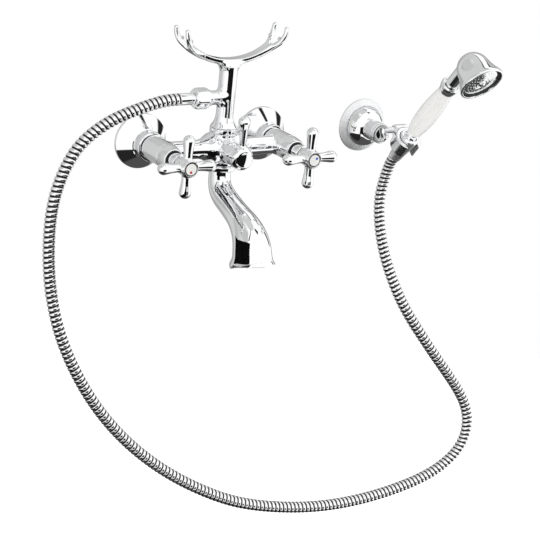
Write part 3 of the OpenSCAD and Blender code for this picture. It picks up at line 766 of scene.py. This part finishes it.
for tag, x, dot, slot in (("hot", -75, (-0.6, -2.9), "red_enamel"), ("cold", 75, (2.2, 2.0), "blue_enamel")):
    body = tag + "_handle"
    cross = solid("cross_" + tag, handle_distance(x), (x - 35, -114.5, -35), (x + 35, -91, 35), 0.5)
    piece(with_ring(cross, bezel_prof, front(x)), body, "chrome", "cross_handle_" + tag)
    piece(lathe("cap_" + tag, index_prof, front(x)), body, "porcelain", "index_disc_" + tag)
    piece(lathe("cap_ring_" + tag, fillet([(6.15, 112.25), (7.2, 112.25), (7.2, 112.95, 0.2), (6.15, 112.95, 0.2)]), front(x)), body, "rubber")
    m = front(x) @ shift(dot[0], dot[1], 0)
    piece(lathe("dot_" + tag, fillet([(0, 113.8), (1.35, 113.8), (1.35, 114.25, 0.15), (0, 114.3)]), m, 48), body, slot, "index_dot_" + tag)


# ---------------------------------------------------------------- diverter
sleeve_prof = fillet([(11, 62.2), (13, 62.2, 0.4), (13, 64.2, 0.6), (12, 65.6, 0.8), (12, 81.2, 0.8), (7, 81.2), (7, 68), (11, 66)])
piece(lathe("diverter_cover", sleeve_prof, front()), "mixer", "chrome", "diverter_sleeve")


def lever_distance():
    dome = [(40.0 * math.sin(math.radians(t)), 94.0 - 40.0 * (1 - math.cos(math.radians(t)))) for t in range(10, -11, -1)]
    edge = [(6.95 + 6.0 * math.sin(math.radians(t)), 87.4 + 6.0 * math.cos(math.radians(t))) for t in range(88, 10, -6)]
    hub = fillet([(-5, 82), (12.6, 82, 1.0), (12.95, 87.2)]) + edge + dome + [(-6.9, 82)]
    arm = arm_outline(45.6, [(3.9, 2), (3.8, 8), (3.75, 13), (3.85, 18), (4.15, 24), (4.7, 30), (5.5, 34), (6.5, 37.5)], 6.7)
    up = frame_matrix((0, -86.5, 0))
    a, b = d_turned(hub, front()), d_turned(arm, up)
    return lambda p: smin(a(p), b(p), 1.6)


piece(solid("lever", lever_distance(), (-14.5, -96.5, -14.5), (14.5, -79, 47.5), 0.5), "diverter", "chrome", "diverter_lever")

# ---------------------------------------------------------------- spout
SPOUT = [(-46, -23, 11.6), (-46.3, -30, 11.8), (-47.6, -38, 12.3), (-52, -45.5, 12.8), (-61, -51, 13.2),
         (-73, -55.5, 13.2), (-84, -59.5, 13.5), (-94, -63.2, 14.3), (-103.5, -67.5, 15.8), (-112, -73, 17.5),
         (-118.6, -79.6, 19.1), (-123, -87, 20.3), (-125.2, -94.5, 20.9), (-126.0, -98.4, 21.7), (-126.4, -101.2, 22.8), (-126.7, -103.2, 23.9),
         (-126.9, -104.2, 24.2), (-127.1, -105.1, 23.9), (-127.4, -105.8, 22.8)]


def make_spout():
    p = np.array(spline(SPOUT, 10))
    yz, r = p[:, :2], p[:, 2]
    c = np.stack([np.zeros(len(p)), yz[:, 0], yz[:, 1]], -1)
    t = np.gradient(c, axis=0)
    t /= np.linalg.norm(t, axis=1)[:, None]
    u = np.tile(np.array([1.0, 0, 0]), (len(p), 1))
    v = np.cross(t, u)
    seg = 96
    th = 2 * np.pi * np.arange(seg) / seg
    ring = lambda i, rad: c[i] + rad * (np.cos(th)[:, None] * u[i] + np.sin(th)[:, None] * v[i])
    n = len(p)
    inner = np.minimum(r - 2.4, 21.3)
    verts = [ring(i, r[i]) for i in range(n)] + [ring(i, inner[i]) for i in range(n - 1, -1, -1)]
    rows = len(verts)
    verts = np.concatenate(verts)
    faces = []
    for i in range(rows):
        a, b = i * seg, ((i + 1) % rows) * seg
        for k in range(seg):
            k2 = (k + 1) % seg
            faces.append((a + k, a + k2, b + k2, b + k))
    return new_mesh("spout_shell", verts, faces, sharp=50.0)


piece(make_spout(), "mixer", "chrome", "spout")
piece(lathe("spout_ring", fillet([(12.2, -17.6), (16, -17.6, 1.6), (16, -23.6, 2.0), (12.2, -23.6)]), UP), "mixer", "chrome", "spout_collar")


# ---------------------------------------------------------------- riser, cradle
piece(lathe("riser_ring", fillet([(12.2, 17.6), (14.8, 17.6, 0.9), (14.8, 22.9, 0.8), (12.2, 22.9)]), UP), "mixer", "chrome", "riser_collar")


def riser_distance():
    prof = [(-5, 23), (14.3, 23), (14.4, 23.7)] + [tuple(q) for q in spline([(14.0, 24.6), (12.9, 26.2), (11.6, 28.2), (10.6, 30.8), (9.9, 34), (9.5, 39), (9.45, 50), (9.5, 62), (9.6, 74), (9.6, 89)], 3)] + [(-5, 89)]
    branch = fillet([(-5, 0), (7.5, 0), (7.5, 19.8, 0.8), (8.6, 20.4, 0.7), (8.6, 23.2, 0.6), (8.0, 23.6), (8.0, 34.5), (-5, 34.5)])
    arm = d_outline(fillet([(84.3, -6.4, 1.1), (90.3, -6.4, 4.7), (90.3, 6.4, 4.7), (84.3, 6.4, 1.1)], 10))
    fork = [(36.0, 2.0, 102.0, 2.6), (41.0, 2.9, 104.6, 2.9), (46.4, 4.4, 107.8, 3.1), (51.4, 7.2, 111.4, 3.1), (55.4, 10.2, 115.8, 3.0), (58.0, 11.9, 120.6, 2.8), (59.4, 12.3, 125.0, 2.6), (60.0, 12.0, 129.2, 2.5)]
    fork = [tuple(q) for q in spline(fork, 4)]
    stem, side = d_turned(prof, UP), d_turned(branch, leftward())

    def f(p):
        x, y, z = p[:, 0], p[:, 1] + 46, p[:, 2]
        w = z - 181.5
        ang = np.degrees(np.arctan2(np.abs(x), -w))
        thin = 1.5 * np.clip((ang - 18) / 20, 0, 1) ** 2
        a = arm(np.hypot(x, w), y) + thin
        a = smax(a, (ang - 35.0) * 1.5, 3.0)
        a = np.where(z > 140, z - 130.0, a)
        lower = smin(stem(p), side(p), 5.0)
        d = smin(lower, a, 10.0)
        far = (np.abs(x) > 28) & (z > 92)
        if far.any():
            q = np.stack([np.abs(x[far]), np.abs(y[far]), z[far]], -1)
            t = np.full(len(q), 1e9)
            for u0, u1 in zip(fork[:-1], fork[1:]):
                t = np.minimum(t, d_round_cone(q, u0[:3], u1[:3], u0[3], u1[3]))
            d[far] = smin(d[far], t, 3.5)
        return d

    return f


piece(solid("riser", riser_distance(), (-66, -64, 21.5), (66, -28, 134), 0.6, 4.5), "mixer", "chrome", "riser_column", "cradle")


# ---------------------------------------------------------------- hose fittings
def hexnut_distance():
    m = leftward() @ rot_z(20)
    cone = d_turned(fillet([(-5, 23.8), (10.3, 23.8, 0.6), (12.2, 26.0, 1.0), (12.2, 36.2, 1.5), (9.4, 40, 1.2), (-5, 40)]), m)

    def f(p):
        q = local(m, p)
        apo = 12 * math.cos(math.pi / 6)
        d = None
        for k in range(3):
            t = math.radians(30 + 60 * k)
            e = np.abs(q[:, 0] * math.cos(t) + q[:, 1] * math.sin(t)) - apo
            d = e if d is None else smax(d, e, 1.6)
        return smax(d, cone(p), 1.4)

    return f


piece(solid("hexnut", hexnut_distance(), (-41.5, -60, 42), (-22.5, -32, 69), 0.45), "mixer", "chrome", "hose_hex_nut")
ferr = fillet([(4, 36.5), (8, 36.5), (8, 38), (5.5, 38), (5.5, 40.4), (6.3, 40.5, 0.3), (6.3, 44.0, 0.2), (6.1, 44.3), (6.1, 45.1), (6.3, 45.4, 0.2), (6.3, 57, 0.5), (4, 57)])
piece(lathe("ferrule_mixer", ferr, leftward(), 72), "mixer", "chrome", "hose_ferrule_mixer")
cone_prof = [np.array(q) for q in ((5.8, -27), (6.8, -27), (7.2, -26.6), (7.35, -26.0))] + spline([(7.45, -25.0), (8.15, -18), (9.2, -9), (10.2, 0), (10.95, 8.4), (11.15, 10.4)], 4) + \
    [np.array(q) for q in ((11.1, 11.4), (10.8, 12.2), (10.2, 12.7), (8.4, 12.8), (8.4, -2.2), (5.8, -2.2))]
piece(satin(lathe("cone_nut", cone_prof, CLIP), CLIP, lambda q: 0.8 * (q[:, 2] < 11)), "handset", "chrome", "hose_cone_nut")

# ---------------------------------------------------------------- wall bracket
br_prof = fillet([(28.2, 0), (30.5, 0), (30.5, 1.8, 1.2), (23.7, 6.1, 0.3), (23.4, 4.9), (22.85, 4.9)]) + \
    spline([(22.75, 6.6), (22.3, 9.8), (21.2, 13.0), (19.5, 15.8), (17.2, 18.0), (14.6, 19.9), (12.6, 21.0), (11.4, 21.4)], 5) + \
    [np.array(q) for q in ((8.4, 21.6), (8.4, 19.4), (13, 18.2), (16, 16.4), (18.4, 14), (20, 10.6), (20.6, 4.6), (25, 2.9), (27.4, 1.4))]
rose = lathe("bracket_rose", br_prof, front(212, 2), 128)
satin(rose, front(212, 2), lambda q: np.hypot(q[:, 0], q[:, 1]) > 22.8)
piece(rose, "mixer", "chrome", "bracket_flange")


def stem_distance():
    m = front(212, 2)
    prof = d_turned(fillet([(-5, 6), (5.95, 6), (5.95, 21.7), (11.5, 21.7, 0.7), (11.5, 36.0, 0.5), (10.5, 36.3), (10.5, 37.4), (11.5, 37.7, 0.5), (11.5, 41, 1.1), (7.5, 41, 0.3), (7.5, 37.7), (-5, 37.7)]), m)

    def f(p):
        bore = np.hypot(p[:, 1] + 34, p[:, 2] - 3.5) - 3.55
        bore = np.maximum(bore, 205 - p[:, 0])
        box = np.maximum(np.maximum(np.abs(p[:, 2] - 3.5) - 4, np.abs(p[:, 1] + 39) - 5), 212 - p[:, 0])
        cut = np.minimum(bore, box)
        return smax(prof(p), -cut, 0.4)

    return f


stem = solid("stem", stem_distance(), (199, -42.5, -11), (225, -4, 15), 0.45)
piece(satin(stem, front(212, 2), lambda q: 0.6 * (q[:, 2] < 36.1)), "mixer", "chrome", "bracket_stem")


def screw_distance():
    m = front(212, 2)
    disc = d_turned(fillet([(-5, 37.8), (7.25, 37.8), (7.25, 39.2, 0.2), (6.5, 40.0, 0.6), (-5, 40.4)]), m)

    def f(p):
        q = local(m, p)
        slot = np.maximum(np.abs(q[:, 0] * 0.94 + q[:, 1] * 0.34) - 1.1, 38.8 - q[:, 2])
        notch = np.maximum(np.maximum(4.4 - q[:, 0], np.abs(q[:, 1] - 1.0) - 5), 36 - q[:, 2])
        return smax(smax(disc(p), -slot, 0.3), -notch, 0.3)

    return f


piece(solid("lock_screw", screw_distance(), (203.5, -42, -6.5), (220.5, -37, 10.5), 0.35), "mixer", "chrome", "bracket_lock_screw")
AXIS = frame_matrix((0, -34, 3.5), (0, 1, 0), (0, 0, 1), (1, 0, 0))
arm_prof = fillet([(0, 205.4), (3.5, 205.4, 0.4), (3.5, 222.6, 0.2), (3.2, 222.9), (3.2, 223.5), (3.5, 223.8, 0.2), (3.5, 239), (0, 239)])
piece(satin(lathe("arm_pin", arm_prof, AXIS, 48), AXIS, lambda q: 0.8 * (q[:, 2] > 206)), "holder", "chrome", "bracket_arm")


def clip_distance():
    ring = d_turned(fillet([(-5, -9), (15.6, -9, 1.6), (15.6, 9, 1.2), (-5, 9)]), CLIP)
    bore = d_turned([(-5, -20), (8.2, -20), (9.6, -9), (11.5, 9), (12.4, 20), (-5, 20)], CLIP)

    def f(p):
        q = local(CLIP, p)
        lug = smax(np.hypot(p[:, 1] + 34, p[:, 2] - 3.5) - 6.0, np.abs(p[:, 0] - 242) - 8.0, 0.9)
        d = smin(ring(p), lug, 4.5)
        d = smax(d, -bore(p), 0.7)
        slot = np.maximum(np.abs(q[:, 0]) - 7.4, q[:, 1])
        return smax(d, -slot, 1.0)

    return f


clip = solid("clip", clip_distance(), (224, -68, -30), (260, -25, 17), 0.5)
piece(satin(clip, CLIP, lambda q: 0.35 * (np.hypot(q[:, 0], q[:, 1]) > 13.0)), "holder", "chrome", "holder_clip")

# ---------------------------------------------------------------- handset
tail = [np.array(q) for q in ((3.6, 2), (8.3, 2), (8.3, 11.4))] + spline([(7.6, 12.2), (7.0, 13.6), (6.8, 15.6), (6.9, 17.6), (7.3, 19.4), (7.6, 21.0)], 4) + [np.array(q) for q in ((5.1, 21), (5.1, 108), (3.6, 108))]
piece(lathe("tail", tail, HAND), "handset", "chrome", "handset_tail")
grip = [np.array(q) for q in ((5.3, 21), (7.4, 21), (7.75, 21.2))] + spline([(8.0, 21.9), (8.7, 25), (9.7, 30.6), (10.65, 38), (11.3, 47), (11.5, 56), (11.3, 65), (10.7, 75), (9.8, 85), (9.0, 92), (8.45, 96.6)], 6) + [np.array(q) for q in ((8.1, 97.4), (7.6, 97.5), (5.3, 97.5))]
piece(lathe("grip", grip, HAND, 128), "handset", "porcelain", "handset_handle")
coll = [np.array(q) for q in ((5.3, 97.5), (8.2, 97.5))] + spline([(8.7, 98.0), (9.1, 99.4), (9.7, 101.8), (10.5, 104.4), (10.95, 106.6), (10.9, 108.4), (10.3, 109.7), (9.4, 110.2), (8.5, 109.6), (7.8, 108.4)], 5) + [np.array((5.3, 108.2))]
piece(lathe("collar", coll, HAND), "handset", "chrome", "handset_collar")


def head_distance():
    pts = [tuple(q) for q in spline([(25.3, 2.4), (24.7, 4.2), (22.8, 8.4), (20.7, 13.6), (19.1, 19), (17.8, 25), (16.2, 29.5), (13.4, 33.6), (9.6, 36.8), (5, 38.8), (0, 39.5), (-5, 38.8)], 4)]
    bell = [(-5, 5.2), (22.8, 5.2), (22.8, 0.2), (23.4, 0.0), (24.6, 0.2), (25.1, 0.8), (25.3, 1.6)] + pts
    a = d_turned(bell, FACE)

    def f(p):
        q = local(HAND, p)
        neck = np.maximum(np.hypot(q[:, 0], q[:, 1]) - 7.0, np.maximum(108.9 - q[:, 2], q[:, 2] - 142))
        return smin(a(p), neck, 2.6)

    return f


piece(solid("head", head_distance(), (212, -185, 68), (272, -104, 130), 0.65), "handset", "chrome", "handset_head")
plate = [np.array((0, 6.2)), np.array((19.8, 5.0)), np.array((19.8, 3.1))] + \
    spline([(19.3, 2.8), (17, 2.25), (14, 1.7), (11, 1.3), (8.8, 1.1)], 4) + [np.array((8.4, 1.5)), np.array((7.6, 1.5))] + \
    spline([(7.2, 1.0), (6.4, 0.6), (5.6, 0.7)], 3) + [np.array((5.2, 1.1)), np.array((4.4, 1.1)), np.array((4.1, 0.6)), np.array((0, 0.5))]


def make_plate():
    v, f = lathe_data(plate, FACE, 96)
    vs, fs, n = [v], list(f), len(v)
    bead = [(0, 0.6), (0.62, 0.6), (0.62, -0.2), (0.5, -0.45), (0.3, -0.45), (0.3, 0.0), (0, 0.0)]
    for r, z, cnt in ((10.2, 1.2, 14), (13.2, 1.55, 18), (16.2, 2.05, 24)):
        for k in range(cnt):
            t = 2 * math.pi * (k + 0.5 * (cnt % 2)) / cnt
            bv, bf = lathe_data(bead, FACE @ shift(r * math.cos(t), r * math.sin(t), z + 0.1), 12)
            vs.append(bv)
            fs += [tuple(i + n for i in q) for q in bf]
            n += len(bv)
    return new_mesh("spray_face", np.concatenate(vs), fs, 40.0)


piece(make_plate(), "handset", "chrome", "handset_spray_plate")
piece(lathe("face_gasket", fillet([(20.1, 2.6, 0.3), (22.5, 2.6, 0.3), (22.5, 5), (20.1, 5)]), FACE), "handset", "rubber", "handset_face_seal")
piece(lathe("centre_boss", [np.array(q) for q in ((0, -1.4), (1.2, -1.35), (2.4, -1.0), (3.3, -0.3), (3.75, 0.5), (1.85, 0.5), (1.85, 12), (0, 12))], FACE, 48), "handset", "chrome", "handset_centre_screw")


# ---------------------------------------------------------------- floor and light
def make_floor():
    m, nt, b = material("floor", (0.9, 0.9, 0.9), 0.0, 0.8)
    nt.links.new(tint(nt, noise(nt, 3.0, 2.0).outputs["Fac"], (0.88, 0.88, 0.88), (0.92, 0.92, 0.92)), b.inputs["Base Color"])
    b.inputs["Emission Color"].default_value = (1, 1, 1, 1)
    b.inputs["Emission Strength"].default_value = 0.45
    bpy.ops.mesh.primitive_circle_add(vertices=128, radius=1.5, fill_type="NGON", location=(0.05, 0, -0.75))
    ob = bpy.context.object
    ob.name = "floor"
    ob.data.materials.append(m)
    ob.visible_glossy = False


make_floor()


def make_card():
    """a curved black card that stands close to the spout; only mirrored, never seen directly"""
    m, nt, b = material("card", (0.004, 0.004, 0.004), 0.0, 0.9)
    nt.links.new(tint(nt, noise(nt, 40.0, 2.0).outputs["Fac"], (0.003, 0.003, 0.003), (0.006, 0.006, 0.006)), b.inputs["Base Color"])
    b.inputs["Specular IOR Level"].default_value = 0.0
    top = [(-139, -78), (-120, -67), (-105, -50), (-90, -36), (-75, -21), (-60, -12), (-46, -8)]
    az = np.linspace(-139, -46, 48)
    z1 = np.interp(az, [q[0] for q in top], [q[1] for q in top])
    x, y = 110 * np.sin(np.radians(az)), -126 - 110 * np.cos(np.radians(az))
    verts = [(x[i], y[i], -150.0) for i in range(48)] + [(x[i], y[i], z1[i]) for i in range(48)]
    ob = new_mesh("card", verts, [(i, i + 1, 49 + i, 48 + i) for i in range(47)], 0)
    ob.data.materials.append(m)
    ob.visible_camera = ob.visible_diffuse = ob.visible_shadow = False


make_card()


def make_studio():
    """a bright tent: white all round, a grey wall side, a dark floor and a few dark flags for the metal to mirror"""
    w = bpy.data.worlds.new("studio")
    scene.world = w
    w.use_nodes = True
    nt = w.node_tree
    nt.nodes.clear()
    out = nt.nodes.new("ShaderNodeOutputWorld")
    bg = nt.nodes.new("ShaderNodeBackground")
    co = nt.nodes.new("ShaderNodeTexCoord")
    xyz = nt.nodes.new("ShaderNodeSeparateXYZ")
    nt.links.new(co.outputs["Generated"], xyz.inputs[0])

    def math_node(op, a, b=None):
        n = nt.nodes.new("ShaderNodeMath")
        n.operation = op
        for i, v in enumerate((a, b)):
            if v is None:
                continue
            if isinstance(v, (int, float)):
                n.inputs[i].default_value = v
            else:
                nt.links.new(v, n.inputs[i])
        return n.outputs[0]

    def step(src, a, b, t0=0.0, t1=1.0):
        n = nt.nodes.new("ShaderNodeMapRange")
        n.interpolation_type = "SMOOTHSTEP"
        n.inputs["From Min"].default_value = a
        n.inputs["From Max"].default_value = b
        n.inputs["To Min"].default_value = t0
        n.inputs["To Max"].default_value = t1
        nt.links.new(src, n.inputs["Value"])
        return n.outputs["Result"]

    def mixed(f, a, b):
        n = nt.nodes.new("ShaderNodeMix")
        n.data_type = "FLOAT"
        nt.links.new(f, n.inputs[0])
        for i, v in ((2, a), (3, b)):
            if isinstance(v, (int, float)):
                n.inputs[i].default_value = v
            else:
                nt.links.new(v, n.inputs[i])
        return n.outputs[0]

    az = math_node("MULTIPLY", math_node("ARCTAN2", xyz.outputs["X"], math_node("MULTIPLY", xyz.outputs["Y"], -1.0)), 57.29578)
    el = math_node("MULTIPLY", math_node("ARCSINE", xyz.outputs["Z"]), 57.29578)
    # the wall side, lighter upward, with a slow change on the left and a quick one on the right
    wall = math_node("ADD", step(az, -40, 40, WALL_LEFT, WALL_RIGHT), step(el, 0, 52, 0.0, WALL_RISE))
    side = math_node("MAXIMUM", step(az, *LEFT_FROM, 1.0, 0.0), step(az, *RIGHT_FROM))
    v = mixed(side, TENT, wall)
    v = mixed(step(el, *FLOOR_FROM, 1.0, 0.0), v, FLOOR_DARK)
    for a0, a1, e0, e1, value, sa, sl, st, ka, kl, kt in FLAGS:
        # ka leans the sides by so many degrees of azimuth per degree of elevation, kl and kt slope the bottom and the top
        lean = math_node("SUBTRACT", az, math_node("MULTIPLY", math_node("SUBTRACT", el, e0), ka)) if ka else az
        run = math_node("SUBTRACT", az, a0)
        low = math_node("SUBTRACT", el, math_node("MULTIPLY", run, kl)) if kl else el
        top = math_node("SUBTRACT", el, math_node("MULTIPLY", run, kt)) if kt else el
        wa = math_node("MULTIPLY", step(lean, a0 - sa, a0 + sa), step(lean, a1 - sa, a1 + sa, 1.0, 0.0))
        we = math_node("MULTIPLY", step(low, e0 - sl, e0 + sl), step(top, e1 - st, e1 + st, 1.0, 0.0))
        v = mixed(math_node("MULTIPLY", wa, we), v, value)
    lp = nt.nodes.new("ShaderNodeLightPath")
    v = mixed(lp.outputs["Is Diffuse Ray"], v, 1.0)
    v = mixed(lp.outputs["Is Camera Ray"], v, 1.0)
    nt.links.new(v, bg.inputs["Color"])
    nt.links.new(bg.outputs[0], out.inputs["Surface"])
    # the surfaces find this light by their own rays, which keeps the white grip free of specks
    w.cycles.sampling_method = "NONE"


# directions in degrees: azimuth 0 is straight out from the wall and 90 is to the right; elevation 90 is up
TENT = 1.12
WALL_LEFT, WALL_RIGHT, WALL_RISE = 0.40, 0.42, 0.22
LEFT_FROM, RIGHT_FROM = (-155, -50), (110, 126)
FLOOR_FROM, FLOOR_DARK = (-42, -34), 0.075
FLAGS = [
    # first and last azimuth, lowest and highest elevation, value, softness of sides, bottom and top, lean, slopes of bottom and top
    (-180, 180, 73, 95, 0.66, 1, 3, 1, 0, 0, 0),
    (-130, -18, -80, -37, 0.018, 4, 4, 1.5, 0, 0, 0),
    (-168, -140, -20, 60, 0.64, 5, 6, 6, 0, 0, 0),
    (-22, 101, -48, -30, 1.1, 3, 2, 3, 0, 0, 0),
    (-142, -62, 22, 62, 0.56, 1.5, 10, 8, 0, 0, 0),
    (-60, -53, 40, 78, 0.02, 1.5, 1.5, 3, 0.65, 0, 0),
    (-30, 37, -36, -1.5, 0.008, 1.5, 1.5, 1.5, 0, 0, 0),
    (38, 60, 54, 69, 0.02, 4, 1.5, 2, 0, 0, 0),
    (97, 109, -2, 29, 0.02, 2, 1.5, 2, 0, 0, 0),
    (127, 150, -32, 3, 0.10, 2, 3, 3, 0, 0, 0),
    # a pale window and its edges
    (110, 150, 31, 68, 1.1, 2, 1, 1, 0, 0.42, -0.3),
    (108, 156, 68, 73, 0.06, 2, 1, 1, 0, -0.3, -0.3),
    (113, 138, 27, 33, 0.05, 2, 1, 1, 0, 0.42, 0.42)]
make_studio()
